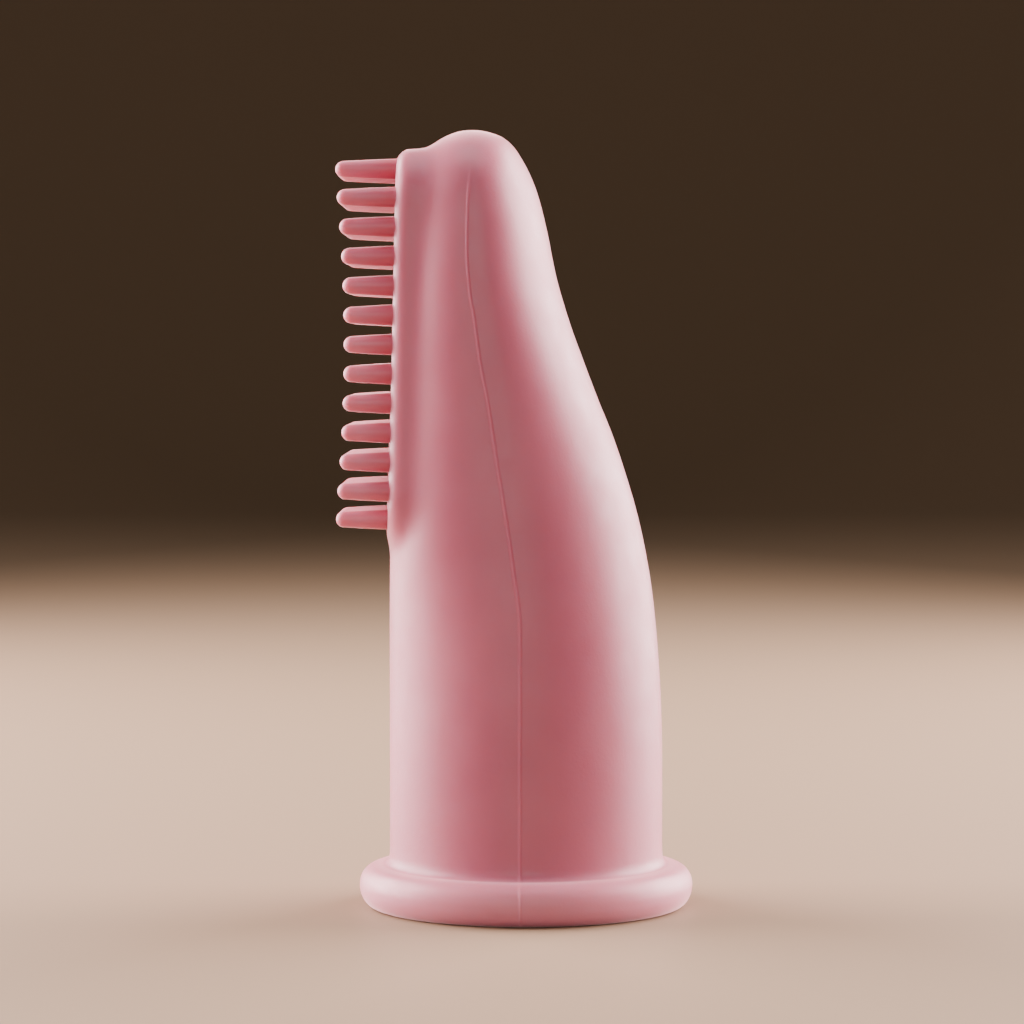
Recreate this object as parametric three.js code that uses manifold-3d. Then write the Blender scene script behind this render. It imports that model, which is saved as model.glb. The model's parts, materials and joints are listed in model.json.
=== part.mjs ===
// A pet's finger toothbrush: one soft silicone moulding, worn over a fingertip like a thimble.
// Its parts are a hollow sleeve, the rolled rim round the finger opening, a raised pad on the
// finger's underside, and rows of soft bristles that stand on the pad and bend at their roots.
// Millimetres, +Z up. The origin is the centre of the finger opening, on the plane that the rim
// rests on. The bristles point along -X, and the part is the same on both sides of Y = 0.
import * as THREE from "three";
import { mergeVertices } from "three/addons/utils/BufferGeometryUtils.js";
import Module from "manifold-3d";

const wasm = await Module();
wasm.setup();

// Driving dimensions.
const GAP = 0.3; // between neighbours that would touch
const BASE_RADIUS = 10.45; // of the sleeve's round lower part
const BORE_RADIUS = 9.35; // of the finger opening
const SECTION_SEGMENTS = 36;
const LOFT_RINGS = 24;

// The sleeve's outline: the front and back lines (x, z) in the plane Y = 0, from the base to the
// crown of the fingertip, and the half breadth at each pair. Points with one index share a section.
const CROWN = [-4.1, 59.3];
const FRONT_LINE = [
  [-BASE_RADIUS, 0], [-BASE_RADIUS, 7], [-BASE_RADIUS, 14], [-BASE_RADIUS, 21],
  [-10.4, 28], [-10.1, 35], [-9.7, 41.3], [-9.3, 47.3],
  [-8.9, 52.2], [-8.35, 55.7], [-6.9, 58.5], CROWN,
];
const BACK_LINE = [
  [BASE_RADIUS, 0], [BASE_RADIUS, 7], [10.4, 14], [9.85, 22],
  [8.55, 30], [6.1, 37.4], [3.7, 43.5], [2.2, 48.5],
  [1.2, 53.3], [0.1, 56.5], [-1.5, 58.65], CROWN,
];
const HALF_BREADTH = [10.45, 10.45, 10.4, 10.1, 9.7, 9.35, 9.1, 8.9, 8.5, 7.6, 4.9, 0];
// The sections are ellipses at the back. At the front they turn squarer where the pad sits.
const FRONT_SQUARENESS = [2, 2, 2, 2.15, 2.45, 2.6, 2.6, 2.6, 2.6, 2.5, 2.25, 2];

// The finger's cavity in the same form. It draws in behind the pad, where the wall is thicker.
const CAVITY_CROWN = [-3.7, 57.6];
const CAVITY_FRONT_LINE = [
  [-BORE_RADIUS, 0], [-BORE_RADIUS, 7], [-9.2, 14], [-8.3, 21],
  [-7.55, 28], [-7.3, 35], [-7.1, 41.3], [-6.9, 47.3],
  [-6.6, 51.8], [-6.2, 54.5], [-5.3, 56.8], CAVITY_CROWN,
];
const CAVITY_BACK_LINE = [
  [BORE_RADIUS, 0], [BORE_RADIUS, 7], [9.3, 14], [8.75, 21.9],
  [7.5, 29.6], [5.1, 36.8], [2.65, 42.9], [1.1, 48.1],
  [0.1, 52.7], [-0.7, 55.3], [-1.9, 57], CAVITY_CROWN,
];
const CAVITY_HALF_BREADTH = [
  BORE_RADIUS, BORE_RADIUS, 9.3, 9, 8.5, 8.05, 7.7, 7.35, 6.75, 5.6, 3.5, 0,
];

// The rim is a bead round the opening, with a flat ring underneath. Its outside, as radius and
// height, runs from the flat ring to where the sleeve stands on it.
const RIM_FLAT_INNER = 10.3;
const RIM_FLAT_OUTER = 11.55;
const RIM_OUTSIDE = [
  [RIM_FLAT_OUTER, 0], [12.25, 0.3], [12.64, 0.9], [12.77, 1.7],
  [12.62, 2.45], [12.2, 3], [11.5, 3.2], [BASE_RADIUS, 3.3],
];
const RIM_TOP = 3.3;
const RIM_BORE_LEAD = 0.9; // height of the rounded lead into the bore
const RIM_SEGMENTS = 48;

// The pad is a flat-faced plateau with rounded ends. Its face leans back towards the crown.
const PAD_BOTTOM = 28;
const PAD_TOP = 57.85;
const PAD_HALF_WIDTH = 7;
const PAD_CORNER = 4;
const PAD_BEVEL = 0.8;
const PAD_FACE_AT_BOTTOM = -10.4;
const PAD_FACE_AT_TOP = -9.75;
const PAD_DEPTH = 7; // before the sleeve is cut out of its back
const PAD_WEB = 1.6; // of solid pad that is let into a pocket of the sleeve

// The bristles stand in a square grid with the four corner bristles left out.
const ROWS = 13;
const ROW_PITCH = 2.2;
const LOWEST_ROW = 29.8;
const COLUMNS = 6;
const END_ROW_COLUMNS = 4;
const COLUMN_PITCH = 2.2;
const ROOT_RADIUS = 0.78;
const TIP_RADIUS = 0.6;
const TIP_AT_MIDDLE = -13.7; // the tips lie on a hollow curve that cups a tooth
const TIP_HOLLOW = 0.7;
const BRISTLE_SEGMENTS = 8;

// A row's root strip lies in a groove of the pad, and the row bends about its axis.
const STRIP_RADIUS = 0.5;
const STRIP_DEPTH = 0.25; // of its axis below the pad's face
const STRIP_SEGMENTS = 12;

const silicone = {
  sleeve: new THREE.MeshStandardMaterial({ color: 0xc9777f, roughness: 0.5, metalness: 0 }),
  bristles: new THREE.MeshStandardMaterial({ color: 0xd27a80, roughness: 0.42, metalness: 0 }),
};

function solidFrom(geometry) {
  const bare = geometry.clone();
  bare.deleteAttribute("normal");
  bare.deleteAttribute("uv");
  const merged = mergeVertices(bare, 1e-4);
  return new wasm.Manifold(
    new wasm.Mesh({
      numProp: 3,
      vertProperties: new Float32Array(merged.attributes.position.array),
      triVerts: new Uint32Array(merged.index.array),
    }),
  );
}

function geometryFrom(solid) {
  const made = solid.getMesh();
  const geometry = new THREE.BufferGeometry();
  geometry.setAttribute("position", new THREE.BufferAttribute(made.vertProperties, made.numProp));
  geometry.setIndex(new THREE.BufferAttribute(made.triVerts, 1));
  geometry.computeVertexNormals();
  return geometry;
}

function piece(name, geometry, material) {
  const mesh = new THREE.Mesh(geometry, material);
  mesh.name = name;
  return mesh;
}

// --- Sleeve -------------------------------------------------------------------------------

function outline(front, back, halfBreadth, squareness) {
  return {
    front: new THREE.SplineCurve(front.map((p) => new THREE.Vector2(...p))),
    back: new THREE.SplineCurve(back.map((p) => new THREE.Vector2(...p))),
    breadth: new THREE.SplineCurve(halfBreadth.map((b, i) => new THREE.Vector2(b, i))),
    squareness: new THREE.SplineCurve(squareness.map((n, i) => new THREE.Vector2(n, i))),
    crown: front.at(-1),
  };
}

const skin = outline(FRONT_LINE, BACK_LINE, HALF_BREADTH, FRONT_SQUARENESS);
const round = FRONT_SQUARENESS.map(() => 2);
const cavity = outline(CAVITY_FRONT_LINE, CAVITY_BACK_LINE, CAVITY_HALF_BREADTH, round);

// The oval section at u, from 0 at the base to 1 at the crown, grown outwards by `grow`.
function section(lines, u, grow) {
  const front = lines.front.getPoint(u);
  const back = lines.back.getPoint(u);
  const breadth = Math.max(lines.breadth.getPoint(u).x, 0) + grow;
  const across = back.clone().sub(front);
  const half = across.length() / 2 + grow;
  const along = across.normalize();
  const centre = front.clone().add(back).multiplyScalar(0.5);
  const ring = [];
  for (let i = 0; i < SECTION_SEGMENTS; i++) {
    const turn = (2 * Math.PI * i) / SECTION_SEGMENTS;
    const power = Math.cos(turn) < 0 ? 2 / lines.squareness.getPoint(u).x : 1;
    const reach = half * Math.sign(Math.cos(turn)) * Math.abs(Math.cos(turn)) ** power;
    const aside = breadth * Math.sign(Math.sin(turn)) * Math.abs(Math.sin(turn)) ** power;
    ring.push([centre.x + along.x * reach, aside, centre.y + along.y * reach]);
  }
  return ring;
}

// Joins a stack of rings with equal counts, and closes each end on a point.
function skinned(stack, start, end) {
  const n = SECTION_SEGMENTS;
  const startPoint = stack.length * n;
  const faces = [];
  for (let i = 0; i < n; i++) {
    const next = (i + 1) % n;
    for (let base = 0; base < startPoint - n; base += n) {
      faces.push(base + i, base + next, base + next + n);
      faces.push(base + i, base + next + n, base + i + n);
    }
    faces.push(startPoint - n + i, startPoint - n + next, startPoint + 1);
    faces.push(next, i, startPoint);
  }
  const geometry = new THREE.BufferGeometry();
  const vertices = [...stack.flat(), start, end];
  geometry.setAttribute("position", new THREE.Float32BufferAttribute(vertices.flat(), 3));
  geometry.setIndex(faces);
  return geometry;
}

// A solid plug of an outline, grown by `grow`, whose flat foot lies at height `foot`.
function plug(lines, grow, foot) {
  const stack = [];
  for (let i = 0; i < LOFT_RINGS; i++) {
    const u = Math.sin((i / LOFT_RINGS) * (Math.PI / 2));
    stack.push(section(lines, u, grow));
  }
  stack[0] = stack[0].map(([x, y]) => [x, y, foot]);
  return solidFrom(skinned(stack, [0, 0, foot], [lines.crown[0], 0, lines.crown[1] + grow]));
}

function sleeve() {
  const shell = plug(skin, 0, RIM_TOP + GAP).subtract(plug(cavity, 0, RIM_TOP - 1));
  return geometryFrom(shell.subtract(padBlock(PAD_WEB + GAP, GAP)));
}

// --- Rim ----------------------------------------------------------------------------------

function baseRim() {
  const outside = new THREE.SplineCurve(RIM_OUTSIDE.map((p) => new THREE.Vector2(...p)));
  const lead = new THREE.Path();
  lead.moveTo(BORE_RADIUS, RIM_BORE_LEAD);
  lead.quadraticCurveTo(BORE_RADIUS, 0, RIM_FLAT_INNER, 0);
  const profile = [
    ...lead.getPoints(4),
    ...outside.getPoints(14),
    new THREE.Vector2(BORE_RADIUS, RIM_TOP),
    new THREE.Vector2(BORE_RADIUS, RIM_BORE_LEAD),
  ];
  const lathe = new THREE.LatheGeometry(profile, RIM_SEGMENTS);
  lathe.rotateX(Math.PI / 2);
  return geometryFrom(solidFrom(lathe));
}

// --- Pad ----------------------------------------------------------------------------------

const PAD_LEAN = Math.atan2(PAD_FACE_AT_TOP - PAD_FACE_AT_BOTTOM, PAD_TOP - PAD_BOTTOM);

function padFaceAt(z) {
  return PAD_FACE_AT_BOTTOM + (z - PAD_BOTTOM) * Math.tan(PAD_LEAN);
}

// The pad's rounded outline, grown by `grow` and drawn in by the bevel that the extrusion adds.
function padOutline(grow) {
  const w = PAD_HALF_WIDTH - PAD_BEVEL + grow;
  const low = PAD_BEVEL - grow;
  const high = PAD_TOP - PAD_BOTTOM - PAD_BEVEL + grow;
  const r = PAD_CORNER - PAD_BEVEL + grow;
  const shape = new THREE.Shape();
  shape.moveTo(-w + r, low);
  shape.absarc(w - r, low + r, r, -Math.PI / 2, 0, false);
  shape.absarc(w - r, high - r, r, 0, Math.PI / 2, false);
  shape.absarc(-w + r, high - r, r, Math.PI / 2, Math.PI, false);
  shape.absarc(-w + r, low + r, r, Math.PI, 1.5 * Math.PI, false);
  return shape;
}

// The pad's outline, from its bevelled face back to `depth` behind the face.
function padBlock(depth, grow) {
  const block = new THREE.ExtrudeGeometry(padOutline(grow), {
    depth: depth + 2,
    bevelThickness: PAD_BEVEL,
    bevelSize: PAD_BEVEL,
    bevelSegments: 2,
    curveSegments: 5,
  });
  // The extrusion's far bevel is the face: the outline's x becomes Y and its y becomes Z.
  block.translate(0, 0, -(depth + 2 + PAD_BEVEL));
  const turn = new THREE.Matrix4().makeBasis(
    new THREE.Vector3(0, -1, 0),
    new THREE.Vector3(0, 0, 1),
    new THREE.Vector3(-1, 0, 0),
  );
  block.applyMatrix4(turn);
  const squareBack = new THREE.BoxGeometry(20, 40, 80).translate(depth + 10, 0, 0);
  const face = new THREE.Matrix4().makeRotationY(PAD_LEAN);
  face.setPosition(PAD_FACE_AT_BOTTOM, 0, PAD_BOTTOM);
  return solidFrom(block).subtract(solidFrom(squareBack)).transform(face.elements);
}

function bristlePad() {
  const overSleeve = padBlock(PAD_DEPTH, 0).subtract(plug(skin, GAP, RIM_TOP));
  let pad = overSleeve.add(padBlock(PAD_WEB, 0));
  for (let row = 0; row < ROWS; row++) {
    pad = pad.subtract(strip(row, STRIP_RADIUS + GAP, halfRow(row) + ROOT_RADIUS + GAP));
  }
  return geometryFrom(pad);
}

// --- Bristles -----------------------------------------------------------------------------

function rowHeight(row) {
  return LOWEST_ROW + row * ROW_PITCH;
}

function columnsIn(row) {
  return row === 0 || row === ROWS - 1 ? END_ROW_COLUMNS : COLUMNS;
}

function halfRow(row) {
  return ((columnsIn(row) - 1) * COLUMN_PITCH) / 2;
}

function tipAt(z) {
  const middle = LOWEST_ROW + ((ROWS - 1) * ROW_PITCH) / 2;
  const share = (z - middle) / (((ROWS - 1) * ROW_PITCH) / 2);
  return TIP_AT_MIDDLE - TIP_HOLLOW * share * share;
}

// A round bar along Y at the row's bending axis.
function strip(row, radius, halfLength) {
  const z = rowHeight(row);
  const bar = new THREE.CylinderGeometry(radius, radius, 2 * halfLength, STRIP_SEGMENTS);
  bar.translate(padFaceAt(z) + STRIP_DEPTH, 0, z);
  return solidFrom(bar);
}

// A tapered bristle with a rounded tip, from its neck in the strip towards -X.
function bristleGeometry(length) {
  const shoulder = STRIP_DEPTH + GAP;
  const tipStart = length - TIP_RADIUS;
  const profile = [
    [0, 0],
    [STRIP_RADIUS * 0.9, 0],
    [STRIP_RADIUS * 0.9, STRIP_DEPTH],
    [ROOT_RADIUS, shoulder],
    [TIP_RADIUS, tipStart],
    [TIP_RADIUS * 0.72, tipStart + TIP_RADIUS * 0.72],
    [0, length],
  ];
  const points = profile.map((p) => new THREE.Vector2(...p));
  const bristle = new THREE.LatheGeometry(points, BRISTLE_SEGMENTS);
  return bristle.rotateZ(Math.PI / 2);
}

function bristleRow(row) {
  const z = rowHeight(row);
  const axis = padFaceAt(z) + STRIP_DEPTH;
  let made = strip(row, STRIP_RADIUS, halfRow(row) + ROOT_RADIUS);
  for (let column = 0; column < columnsIn(row); column++) {
    const bristle = bristleGeometry(axis - tipAt(z));
    bristle.translate(axis, -halfRow(row) + column * COLUMN_PITCH, z);
    made = made.add(solidFrom(bristle));
  }
  return geometryFrom(made);
}

// --- Assembly -----------------------------------------------------------------------------

const brush = new THREE.Group();
brush.add(piece("finger_sleeve", sleeve(), silicone.sleeve));
brush.add(piece("base_rim", baseRim(), silicone.sleeve));
brush.add(piece("bristle_pad", bristlePad(), silicone.sleeve));
for (let row = 0; row < ROWS; row++) {
  const name = "bristle_row_" + String(row + 1).padStart(2, "0");
  brush.add(piece(name, bristleRow(row), silicone.bristles));
}

export default brush;
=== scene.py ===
import json
import math

import bpy
import numpy as np
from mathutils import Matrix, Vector


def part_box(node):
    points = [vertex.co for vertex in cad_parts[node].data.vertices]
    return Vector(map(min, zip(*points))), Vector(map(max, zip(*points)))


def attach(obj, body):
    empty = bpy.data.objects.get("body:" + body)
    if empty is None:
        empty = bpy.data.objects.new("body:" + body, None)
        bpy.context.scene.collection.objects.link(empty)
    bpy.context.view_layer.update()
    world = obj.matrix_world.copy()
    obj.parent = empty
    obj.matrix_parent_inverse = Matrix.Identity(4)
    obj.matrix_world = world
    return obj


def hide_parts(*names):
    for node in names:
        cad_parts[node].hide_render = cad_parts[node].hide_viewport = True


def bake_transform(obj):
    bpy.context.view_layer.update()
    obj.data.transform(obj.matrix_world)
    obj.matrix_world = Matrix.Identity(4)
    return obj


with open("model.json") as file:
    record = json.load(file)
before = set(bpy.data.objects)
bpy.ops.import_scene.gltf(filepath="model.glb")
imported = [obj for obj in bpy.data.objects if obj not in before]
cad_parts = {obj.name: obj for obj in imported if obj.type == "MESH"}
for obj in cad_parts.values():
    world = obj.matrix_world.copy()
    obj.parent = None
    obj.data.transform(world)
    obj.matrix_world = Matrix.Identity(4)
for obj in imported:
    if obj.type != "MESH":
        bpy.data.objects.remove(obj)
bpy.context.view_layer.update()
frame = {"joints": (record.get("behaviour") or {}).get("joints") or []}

MM = 0.001

# ------------------------------------------------------------------ small helpers


def smooth_curve(xs, ys):
    """A monotone cubic through the points, as a function of x."""
    xs, ys = np.array(xs, float), np.array(ys, float)
    h = np.diff(xs)
    slope = np.diff(ys) / h
    m = np.zeros(len(xs))
    m[0], m[-1] = slope[0], slope[-1]
    for i in range(1, len(xs) - 1):
        if slope[i - 1] * slope[i] > 0:
            w1, w2 = 2 * h[i] + h[i - 1], h[i] + 2 * h[i - 1]
            m[i] = (w1 + w2) / (w1 / slope[i - 1] + w2 / slope[i])

    def value(x):
        x = np.clip(np.asarray(x, float), xs[0], xs[-1])
        i = np.clip(np.searchsorted(xs, x, side="right") - 1, 0, len(h) - 1)
        t = (x - xs[i]) / h[i]
        a, b = ys[i], ys[i + 1]
        p, q = m[i] * h[i], m[i + 1] * h[i]
        return (
            a * (2 * t**3 - 3 * t**2 + 1)
            + p * (t**3 - 2 * t**2 + t)
            + b * (3 * t**2 - 2 * t**3)
            + q * (t**3 - t**2)
        )

    return value


def step(a, b, x):
    t = np.clip((np.asarray(x, float) - a) / (b - a), 0, 1)
    return t * t * (3 - 2 * t)


def mesh_object(name, vertices, faces):
    """vertices in millimetres."""
    mesh = bpy.data.meshes.new(name)
    mesh.from_pydata((np.asarray(vertices, float) * MM).tolist(), [], faces)
    mesh.validate()
    mesh.shade_smooth()
    obj = bpy.data.objects.new(name, mesh)
    bpy.context.scene.collection.objects.link(obj)
    return obj


def lofted(rings, first_pole=None, last_pole=None):
    """Faces that join equal closed rings, whose vertices come first, then the poles."""
    count = len(rings[0])
    vertices = np.concatenate(rings).tolist()
    faces = []
    for r in range(len(rings) - 1):
        for i in range(count):
            a, b = r * count + i, r * count + (i + 1) % count
            faces.append((a, b, b + count, a + count))
    if first_pole is not None:
        vertices.append(list(first_pole))
        pole = len(vertices) - 1
        faces += [((i + 1) % count, i, pole) for i in range(count)]
    if last_pole is not None:
        vertices.append(list(last_pole))
        pole = len(vertices) - 1
        base = (len(rings) - 1) * count
        faces += [(base + i, base + (i + 1) % count, pole) for i in range(count)]
    return vertices, faces


# ------------------------------------------------------------------ camera

CAMERA_PLACE = (-1.08, -290.0, 42.65)
CAMERA_AIM = (-1.08, 0.0, 30.2)
LENS = 133.3
SENSOR = 36.0

target = Vector(CAMERA_AIM) * MM
camera_data = bpy.data.cameras.new("camera")
camera_data.lens = LENS
camera_data.sensor_width = SENSOR
camera_data.clip_start = 0.01
camera_data.clip_end = 20
camera = bpy.data.objects.new("camera", camera_data)
bpy.context.scene.collection.objects.link(camera)
camera.location = Vector(CAMERA_PLACE) * MM
camera.rotation_mode = "QUATERNION"
camera.rotation_quaternion = (target - camera.location).to_track_quat("-Z", "Y")
bpy.context.scene.camera = camera

# ------------------------------------------------------------------ the moulded body's shape

CROWN_Z = 59.3

# Height, front line, back line, half breadth and squareness of the sleeve's sections.
OUTLINE = [
    (59.30, -4.10, -4.10, 0.00, 2.00),
    (59.13, -5.35, -2.80, 2.30, 2.00),
    (58.70, -6.35, -1.70, 3.90, 2.10),
    (58.00, -7.20, -0.92, 5.35, 2.25),
    (57.20, -7.75, -0.38, 6.35, 2.35),
    (56.05, -8.15, 0.24, 7.30, 2.48),
    (54.55, -8.50, 0.84, 7.95, 2.55),
    (51.80, -8.90, 1.56, 8.50, 2.60),
    (48.30, -9.20, 2.27, 8.85, 2.60),
    (44.85, -9.45, 3.27, 9.00, 2.60),
    (41.90, -9.65, 4.33, 9.10, 2.60),
    (38.90, -9.85, 5.47, 9.20, 2.60),
    (35.95, -10.05, 6.66, 9.32, 2.60),
    (33.00, -10.20, 7.65, 9.47, 2.58),
    (30.00, -10.32, 8.52, 9.63, 2.52),
    (27.00, -10.40, 9.18, 9.78, 2.40),
    (23.50, -10.43, 9.73, 10.02, 2.20),
    (20.00, -10.45, 10.07, 10.18, 2.08),
    (16.00, -10.45, 10.33, 10.36, 2.00),
    (12.00, -10.45, 10.44, 10.43, 2.00),
    (8.00, -10.45, 10.45, 10.45, 2.00),
    (0.00, -10.45, 10.45, 10.45, 2.00),
]


def from_crown(z, crown):
    """A depth that spreads out the rounding at the crown."""
    return np.sqrt(np.maximum(crown - np.asarray(z, float), 0))


def outline_curves(rows, crown):
    s = [from_crown(r[0], crown) for r in rows]
    return [smooth_curve(s, [r[k] for r in rows]) for k in range(1, len(rows[0]))]


front_line, back_line, half_breadth, squareness = outline_curves(OUTLINE, CROWN_Z)

PAD_LOW, PAD_HIGH = 27.9, 57.75
PAD_HALF = 7.0
PAD_CORNER = 4.2
PAD_EDGE = 1.05
PAD_FILLET = 1.7
PAD_BACK = -4.6
PAD_FACE_FOOT = (-10.4, 28.0)  # a point (x, z) on the pad's face
PAD_FACE_LEAN = 0.65 / 29.85


def pad_face(z):
    x, foot = PAD_FACE_FOOT
    return x + (np.asarray(z, float) - foot) * PAD_FACE_LEAN


def sleeve_level(x, y, z):
    """About the distance outside the sleeve's surface."""
    s = from_crown(z, CROWN_Z)
    f, b, w = front_line(s), back_line(s), half_breadth(s)
    cx, a = (f + b) / 2, np.maximum((b - f) / 2, 1e-3)
    w = np.maximum(w, 1e-3)
    n = np.where(x < cx, squareness(s), 2.0)
    u, v = np.abs(x - cx) / a, np.abs(y) / w
    q = (u**n + v**n + 1e-12) ** (1 / n)
    grad = np.hypot(u ** (n - 1) / a, v ** (n - 1) / w) / q ** (n - 1)
    level = (q - 1) / np.maximum(grad, 1e-3)
    above = z - CROWN_Z
    return np.where(above > 0, np.maximum(level, above), level)


def pad_level(x, y, z):
    """The distance outside the pad's plateau, a slab whose back lies inside the sleeve."""
    mid, half = (PAD_LOW + PAD_HIGH) / 2, (PAD_HIGH - PAD_LOW) / 2
    u = np.abs(y) - (PAD_HALF - PAD_CORNER)
    v = np.abs(z - mid) - (half - PAD_CORNER)
    side = np.minimum(np.maximum(u, v), 0) + np.hypot(np.maximum(u, 0), np.maximum(v, 0))
    side = side - PAD_CORNER
    front = pad_face(z) - x
    a, b = side + PAD_EDGE, front + PAD_EDGE
    slab = np.minimum(np.maximum(a, b), 0) + np.hypot(np.maximum(a, 0), np.maximum(b, 0))
    return np.maximum(slab - PAD_EDGE, x - PAD_BACK)


def body_level(x, y, z):
    d1, d2 = sleeve_level(x, y, z), pad_level(x, y, z)
    h = np.maximum(PAD_FILLET - np.abs(d1 - d2), 0) / PAD_FILLET
    return np.minimum(d1, d2) - h * h * h * PAD_FILLET / 6


CAST_REACH = 16.0
CAST_HALVINGS = 30


def cast(origins, directions):
    """How far along each ray the body's surface lies."""
    low = np.zeros(len(directions))
    high = np.full(len(directions), CAST_REACH)
    for _ in range(CAST_HALVINGS):
        mid = (low + high) / 2
        p = origins + directions * mid[:, None]
        outside = body_level(p[:, 0], p[:, 1], p[:, 2]) > 0
        high = np.where(outside, mid, high)
        low = np.where(outside, low, mid)
    return (low + high) / 2


def rays(turns, elevations):
    """Unit directions from turning angles about the height and from elevations."""
    ce = np.cos(elevations)
    return np.stack([ce * np.cos(turns), ce * np.sin(turns), np.sin(elevations)], 1)


# The mould's parting line, seen from the side.
parting = smooth_curve(
    [0, 22, 26, 30.5, 34.5, 38.8, 42, 45, 47, 50, 53, 56, 58, 59.6],
    [-0.5, -0.5, -0.95, -1.6, -2.25, -2.9, -3.5, -3.9, -4.24, -4.44, -4.4, -4.2, -4.1, -4.1],
)

# The parting line stands up as a fine ridge on mesh columns at these offsets beside it.
RIDGE = [-0.5, -0.2, -0.12, -0.07, 0.0, 0.07, 0.12, 0.2, 0.5]
RIDGE_HALF_WIDTH = 0.12
RIDGE_RISE = 0.07
FRONT_COLUMNS = 52
BACK_COLUMNS = 40


def half_turns(part_angle, radius):
    """Angles from the front (pi) to the back (0) by way of the parting line."""
    near = [part_angle - r / radius for r in RIDGE]
    front = np.linspace(math.pi, near[0], FRONT_COLUMNS + 1)[:-1]
    back = np.linspace(near[-1], 0.0, BACK_COLUMNS + 1)[1:]
    return np.concatenate([front, near, back])


def ridge_profile():
    """The ridge's share of its rise in each column of one half."""
    count = FRONT_COLUMNS + len(RIDGE) + BACK_COLUMNS
    rise = np.zeros(count)
    for i, r in enumerate(RIDGE):
        rise[FRONT_COLUMNS + i] = max(0.0, 1 - abs(r) / RIDGE_HALF_WIDTH) ** 0.5
    return rise


SPINE_LEAN = -4.15
SPINE_BEND = (14, 50)


def spine(z):
    """The line inside the sleeve from which its surface is cast."""
    return SPINE_LEAN * step(*SPINE_BEND, z)


def full_turn(half):
    """Both halves: from the front round +Y to the back, and on round -Y."""
    return np.concatenate([half, -half[-2:0:-1]])


def full_shape(half):
    return np.concatenate([half, half[-2:0:-1]])


RISE_ALL = full_shape(ridge_profile())

# Level rings run up the wall, then a fan of tilted rings closes the crown.
WALL_START = 5.0
FAN_START = 50.0
WALL_STEP = 0.33
FAN_RINGS = 44
RIDGE_FADE = (0.45, 0.75)  # the fan elevations over which the ridge fades out
PARTING_MARGIN = 0.02
PARTING_HALVINGS = 22
COLUMN_RADIUS = 9.0  # the radius at which the ridge's columns are spaced
LEAST_COLUMN_RADIUS = 2.0

wall_heights = np.linspace(WALL_START, FAN_START, int((FAN_START - WALL_START) / WALL_STEP) + 1)
fan = np.arange(1, FAN_RINGS) * (math.pi / 2) / FAN_RINGS
ring_z = np.concatenate([wall_heights, np.full(len(fan), FAN_START)])
ring_elevation = np.concatenate([np.zeros(len(wall_heights)), fan])
ring_origin = np.stack([spine(ring_z), np.zeros(len(ring_z)), ring_z], 1)
ring_fade = 1 - step(*RIDGE_FADE, ring_elevation)


def parting_turns():
    """The turning angle at which each ring crosses the parting line."""
    low = np.full(len(ring_z), PARTING_MARGIN)
    high = np.full(len(ring_z), math.pi - PARTING_MARGIN)
    for _ in range(PARTING_HALVINGS):
        mid = (low + high) / 2
        d = rays(mid, ring_elevation)
        p = ring_origin + d * cast(ring_origin, d)[:, None]
        behind = p[:, 0] > parting(p[:, 2])
        low = np.where(behind, mid, low)
        high = np.where(behind, high, mid)
    return (low + high) / 2


outer_rings = []
for origin, elevation, turn, fade in zip(ring_origin, ring_elevation, parting_turns(), ring_fade):
    radius = max(LEAST_COLUMN_RADIUS, COLUMN_RADIUS * math.cos(elevation))
    turns = full_turn(half_turns(turn, radius))
    d = rays(turns, np.full(len(turns), elevation))
    reach = cast(origin[None, :], d) + RISE_ALL * RIDGE_RISE * fade
    outer_rings.append(origin + d * reach[:, None])

# The rim is a body of revolution. Its profile, as radius and height, runs from the bore's
# lead over the flat underside and round the bead to the fillet where the wall rises.
BORE_R = 9.35
RIM_UNDERSIDE = [
    (BORE_R, 1.3),
    (9.37, 0.95),
    (9.47, 0.6),
    (9.65, 0.3),
    (9.95, 0.08),
    (10.3, 0.0),
]
RIM_BEAD = [
    (10.75, 0.0),
    (11.2, 0.0),
    (11.6, 0.01),
    (11.97, 0.11),
    (12.3, 0.36),
    (12.57, 0.76),
    (12.73, 1.22),
    (12.77, 1.7),
    (12.69, 2.2),
    (12.46, 2.64),
    (12.10, 2.96),
    (11.67, 3.13),
    (11.25, 3.20),
    (10.88, 3.24),
    (10.72, 3.36),
    (10.55, 3.6),
    (10.47, 4.0),
    (10.45, 4.6),
]


BEAD_POINTS = 44
RIM_PARTING_X = -0.5
# The ridge crosses the rim outside these, and not its underside.
RIM_RIDGE_R = 11.6
RIM_RIDGE_Z = 2


def rim_profile():
    """The rim's points, with the bead's refined on a smooth curve by length."""
    pts = np.array(RIM_BEAD)
    along = np.concatenate([[0], np.cumsum(np.hypot(*np.diff(pts, axis=0).T))])
    t = np.linspace(0, along[-1], BEAD_POINTS)
    bead = np.stack([smooth_curve(along, pts[:, 0])(t), smooth_curve(along, pts[:, 1])(t)], 1)
    return [np.array(p) for p in RIM_UNDERSIDE] + list(bead)


def revolved_ring(radius, z, rise):
    part_angle = math.acos(RIM_PARTING_X / radius)
    turns = full_turn(half_turns(part_angle, radius))
    r = radius + RISE_ALL * rise
    return np.stack([r * np.cos(turns), r * np.sin(turns), np.full(len(turns), z)], 1)


rim_rings = []
for r, z in rim_profile():
    ridged = r > RIM_RIDGE_R or z > RIM_RIDGE_Z
    rim_rings.append(revolved_ring(r, z, RIDGE_RISE if ridged else 0.0))

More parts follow.
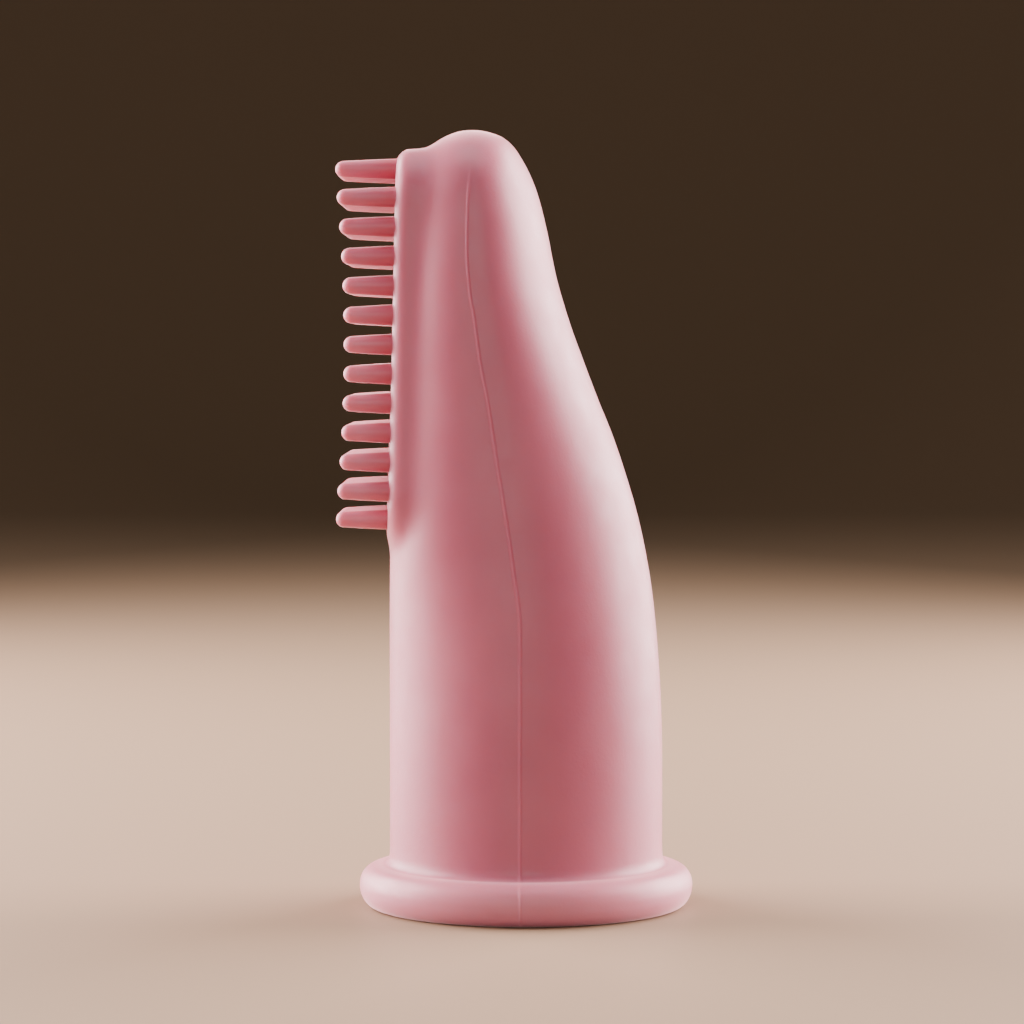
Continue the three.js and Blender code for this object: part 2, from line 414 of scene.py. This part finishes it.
# The finger's cavity: height, front, back and half breadth, from its crown down.
CAVITY_CROWN_Z = 57.6
CAVITY_CROWN_X = -3.7
CAVITY_FOOT = 2.2
CAVITY_RINGS = 59
CAVITY_COLUMN_MIDDLE = math.acos(-0.05)
CAVITY = [
    (57.60, -3.70, -3.70, 0.00),
    (57.25, -4.80, -2.50, 2.20),
    (56.60, -5.50, -1.60, 3.60),
    (55.30, -6.10, -0.75, 5.00),
    (52.70, -6.50, 0.05, 6.40),
    (48.10, -6.90, 1.05, 7.30),
    (42.90, -7.08, 2.70, 7.70),
    (36.90, -7.25, 5.05, 8.05),
    (29.60, -7.45, 7.45, 8.45),
    (21.90, -8.20, 8.72, 8.98),
    (14.00, -9.20, 9.30, 9.30),
    (7.00, -BORE_R, BORE_R, BORE_R),
    (0.00, -BORE_R, BORE_R, BORE_R),
]
c_front, c_back, c_breadth = outline_curves(CAVITY, CAVITY_CROWN_Z)


def cavity_ring(z):
    s = from_crown(z, CAVITY_CROWN_Z)
    f, b, w = float(c_front(s)), float(c_back(s)), float(c_breadth(s))
    turns = full_turn(half_turns(CAVITY_COLUMN_MIDDLE, COLUMN_RADIUS))
    return np.stack(
        [(f + b) / 2 + (b - f) / 2 * np.cos(turns), w * np.sin(turns), np.full(len(turns), z)], 1
    )


depths = from_crown(CAVITY_FOOT, CAVITY_CROWN_Z) * np.linspace(0, 1, CAVITY_RINGS + 1)[1:]
cavity_rings = [cavity_ring(CAVITY_CROWN_Z - float(s) ** 2) for s in depths]

rings = cavity_rings + rim_rings + outer_rings
crown_reach = cast(ring_origin[-1:], np.array([[0.0, 0.0, 1.0]]))[0]
vertices, faces = lofted(
    rings,
    first_pole=(CAVITY_CROWN_X, 0.0, CAVITY_CROWN_Z),
    last_pole=(float(spine(FAN_START)), 0.0, FAN_START + crown_reach),
)
# The front comes first in each ring, so the faces are turned to look outwards.
faces = [tuple(reversed(f)) for f in faces]
body = mesh_object("moulded_body", vertices, faces)
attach(body, "sleeve")
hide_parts("finger_sleeve", "base_rim", "bristle_pad")

# ------------------------------------------------------------------ the bristles

COLUMN_PITCH = 2.2
ROOT_R, TIP_R = 0.78, 0.62
FLARE = 0.05
FLARE_HEIGHT = 0.3
ROOT_DEPTH = 0.35  # how far a bristle starts behind the pad's face
BRISTLE_SIDES = 20
bristle_rows = []


def bristle_profile(length):
    """Distance out from the pad's face, and radius, from inside the pad to the tip."""
    points = [(-ROOT_DEPTH, ROOT_R + FLARE + 0.1), (-0.03, ROOT_R + FLARE)]
    for t in np.linspace(0.2, 1, 5):
        angle = t * math.pi / 2
        out = FLARE_HEIGHT * (1 - math.cos(angle))
        points.append((out, ROOT_R + FLARE - FLARE * math.sin(angle)))
    straight = length - TIP_R
    for t in np.linspace(0.1, 1, 9):
        radius = ROOT_R + (TIP_R - ROOT_R) * t**1.2
        points.append((FLARE_HEIGHT + (straight - FLARE_HEIGHT) * t, radius))
    for t in np.linspace(0, 1, 8)[1:-1]:
        angle = t * math.pi / 2
        points.append((straight + TIP_R * math.sin(angle), TIP_R * math.cos(angle)))
    return points


for joint in frame["joints"]:
    row = joint["child"]
    node = "bristle_" + row
    low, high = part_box(node)
    axis = Vector(joint["pos_m"]) / MM
    z = axis.z
    width = (high.y - low.y) / MM - 2 * ROOT_R
    columns = int(round(width / COLUMN_PITCH)) + 1
    face = float(pad_face(z))
    length = face - low.x / MM
    all_vertices, all_faces = [], []
    for column in range(columns):
        y = (column - (columns - 1) / 2) * COLUMN_PITCH
        rings_here = []
        for out, radius in bristle_profile(length):
            t = np.linspace(0, 2 * math.pi, BRISTLE_SIDES, endpoint=False)
            ring = np.stack(
                [np.full(len(t), face - out), y + radius * np.cos(t), z + radius * np.sin(t)], 1
            )
            rings_here.append(ring)
        v, f = lofted(
            rings_here, first_pole=(face + ROOT_DEPTH, y, z), last_pole=(face - length, y, z)
        )
        offset = len(all_vertices)
        all_vertices += v
        all_faces += [tuple(i + offset for i in reversed(g)) for g in f]
    obj = mesh_object("bristles_" + row, all_vertices, all_faces)
    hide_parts(node)
    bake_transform(obj)
    bristle_rows.append(obj)

# ------------------------------------------------------------------ silicone


class Nodes:
    """Adds nodes to one material and links them."""

    def __init__(self, name):
        self.material = bpy.data.materials.new(name)
        self.material.use_nodes = True
        self.tree = self.material.node_tree
        self.shader = self.tree.nodes["Principled BSDF"]

    def add(self, kind, **values):
        node = self.tree.nodes.new(kind)
        for key, value in values.items():
            setattr(node, key, value)
        return node

    def link(self, a, b):
        self.tree.links.new(a, b)

    def noise(self, vector, scale, detail=3.0, roughness=0.5):
        n = self.add("ShaderNodeTexNoise")
        n.inputs["Scale"].default_value = scale
        n.inputs["Detail"].default_value = detail
        n.inputs["Roughness"].default_value = roughness
        self.link(vector, n.inputs["Vector"])
        return n.outputs["Fac"]

    def ramp(self, value, low, high, a, b):
        """a where value is at low, b where it is at high."""
        m = self.add("ShaderNodeMapRange")
        m.inputs["From Min"].default_value = low
        m.inputs["From Max"].default_value = high
        m.inputs["To Min"].default_value = a
        m.inputs["To Max"].default_value = b
        self.link(value, m.inputs["Value"])
        return m.outputs["Result"]

    def maths(self, operation, a, b):
        m = self.add("ShaderNodeMath", operation=operation)
        for i, v in enumerate((a, b)):
            if isinstance(v, (int, float)):
                m.inputs[i].default_value = v
            else:
                self.link(v, m.inputs[i])
        return m.outputs[0]

    def blend(self, factor, a, b):
        m = self.add("ShaderNodeMix", data_type="RGBA")
        self.link(factor, m.inputs["Factor"])
        for socket, v in ((m.inputs[6], a), (m.inputs[7], b)):
            if isinstance(v, tuple):
                socket.default_value = v
            else:
                self.link(v, socket)
        return m.outputs[2]


ROOT_SPAN = (-12.6 * MM, -10.2 * MM)
# Heights over which the rim's painted light fades out into the body colour.
RIM_PAINTED_LIGHT_SPAN = (2.6 * MM, 3.5 * MM)


def silicone(name, deep, pale, root=None, foot=None):
    """root is a deeper colour near the pad's face; foot is a paler pink painted on the rim,
    painted light standing in for the light its bead catches from above.
    """
    n = Nodes(name)
    place = n.add("ShaderNodeTexCoord").outputs["Object"]
    broad = n.noise(place, 95.0, 2.0)
    mottle = n.noise(place, 520.0, 3.0)
    fine = n.noise(place, 4200.0, 3.0, 0.6)
    colour = n.blend(n.ramp(broad, 0.35, 0.65, 0.0, 1.0), deep, pale)
    colour = n.blend(n.ramp(mottle, 0.3, 0.75, 0.0, 0.18), colour, pale)
    along = n.add("ShaderNodeSeparateXYZ")
    n.link(place, along.inputs[0])
    if root:
        near = n.ramp(along.outputs["X"], *ROOT_SPAN, 0.0, 0.85)
        colour = n.blend(near, colour, root)
    if foot:
        # Painted light: the rim's bead is blended towards the paler foot colour, as if lit from
        # above.
        low = n.ramp(along.outputs["Z"], *RIM_PAINTED_LIGHT_SPAN, 0.85, 0.0)
        colour = n.blend(low, colour, foot)
    n.link(colour, n.shader.inputs["Base Color"])
    patches = n.ramp(mottle, 0.3, 0.7, 0.40, 0.50)
    grain = n.ramp(fine, 0.3, 0.7, -0.03, 0.05)
    rough = n.maths("ADD", patches, grain)
    n.link(rough, n.shader.inputs["Roughness"])
    n.shader.inputs["Subsurface Weight"].default_value = 0.55
    n.shader.inputs["Subsurface Radius"].default_value = (1.0, 0.38, 0.34)
    n.shader.inputs["Subsurface Scale"].default_value = 0.0018
    n.shader.inputs["IOR"].default_value = 1.43
    n.shader.inputs["Specular IOR Level"].default_value = 0.5
    n.shader.inputs["Sheen Weight"].default_value = 0.7
    n.shader.inputs["Sheen Roughness"].default_value = 0.32
    n.shader.inputs["Sheen Tint"].default_value = (1.0, 0.64, 0.655, 1.0)
    bump = n.add("ShaderNodeBump")
    bump.inputs["Strength"].default_value = 0.25
    bump.inputs["Distance"].default_value = 0.00006
    height = n.maths("ADD", n.maths("MULTIPLY", fine, 0.5), mottle)
    n.link(height, bump.inputs["Height"])
    n.link(bump.outputs["Normal"], n.shader.inputs["Normal"])
    return n.material


body.data.materials.append(
    silicone(
        "silicone_body",
        (0.385, 0.085, 0.142, 1.0),
        (0.43, 0.105, 0.165, 1.0),
        # foot: the paler pink of the painted light on the rim's bead.
        foot=(0.55, 0.19, 0.255, 1.0),
    )
)
bristle_material = silicone(
    "silicone_bristles", (0.45, 0.11, 0.18, 1.0), (0.5, 0.15, 0.225, 1.0), (0.42, 0.05, 0.095, 1.0)
)
for obj in bristle_rows:
    obj.data.materials.append(bristle_material)

# ------------------------------------------------------------------ floor and light


def plain(name, colour, roughness):
    n = Nodes(name)
    n.shader.inputs["Base Color"].default_value = colour
    n.shader.inputs["Roughness"].default_value = roughness
    n.shader.inputs["Specular IOR Level"].default_value = 0.25
    return n.material


# The floor and the wall behind it, in metres.
SWEEP_HALF = 2.5
SWEEP_BEND_START = 0.7
SWEEP_BEND_R = 0.6
SWEEP_BEND_STEPS = 16


def sweep_line():
    """The floor, and the wall behind it, as (y, z) points in metres on one smooth line."""
    points = [(-SWEEP_HALF, 0.0), (-1.0, 0.0), (0.0, 0.0), (0.35, 0.0), (SWEEP_BEND_START, 0.0)]
    for i in range(1, SWEEP_BEND_STEPS + 1):
        angle = (math.pi / 2) * i / SWEEP_BEND_STEPS
        y = SWEEP_BEND_START + SWEEP_BEND_R * math.sin(angle)
        points.append((y, SWEEP_BEND_R - SWEEP_BEND_R * math.cos(angle)))
    wall = SWEEP_BEND_START + SWEEP_BEND_R
    return points + [(wall, 1.4), (wall, 2.6)]


line = sweep_line()
sweep_vertices = [(x, y, z) for y, z in line for x in (-SWEEP_HALF, SWEEP_HALF)]
sweep_faces = [(2 * i, 2 * i + 1, 2 * i + 3, 2 * i + 2) for i in range(len(line) - 1)]
sweep_mesh = bpy.data.meshes.new("floor")
sweep_mesh.from_pydata(sweep_vertices, [], sweep_faces)
sweep_mesh.shade_smooth()
floor = bpy.data.objects.new("floor", sweep_mesh)
bpy.context.scene.collection.objects.link(floor)
floor.data.materials.append(plain("floor_paper", (0.265, 0.18, 0.115, 1.0), 0.6))

world = bpy.data.worlds.new("studio")
world.use_nodes = True
background = world.node_tree.nodes["Background"]
background.inputs["Color"].default_value = (1.0, 0.90, 0.80, 1.0)
background.inputs["Strength"].default_value = 0.165
bpy.context.scene.world = world


SOFTBOX_AIM = (0, 0, 30)
SIDE_COLOUR = (1.0, 0.87, 0.855)


def softbox(name, place, size, power, colour=(1.0, 0.97, 0.94)):
    light = bpy.data.lights.new(name, "AREA")
    light.shape = "RECTANGLE"
    light.size, light.size_y = size
    light.energy = power
    light.color = colour
    obj = bpy.data.objects.new(name, light)
    bpy.context.scene.collection.objects.link(obj)
    obj.location = Vector(place) * MM
    obj.rotation_mode = "QUATERNION"
    look = Vector(SOFTBOX_AIM) * MM - obj.location
    obj.rotation_quaternion = look.to_track_quat("-Z", "Y")


softbox("softbox_left", (-245, 112, 90), (0.3, 0.3), 7.4, SIDE_COLOUR)
softbox("softbox_right", (240, 128, 85), (0.3, 0.3), 7.4, SIDE_COLOUR)
softbox("softbox_top", (0, 20, 420), (0.25, 0.25), 1.0)
softbox("softbox_front", (-40, -500, 160), (0.3, 0.3), 1.25)
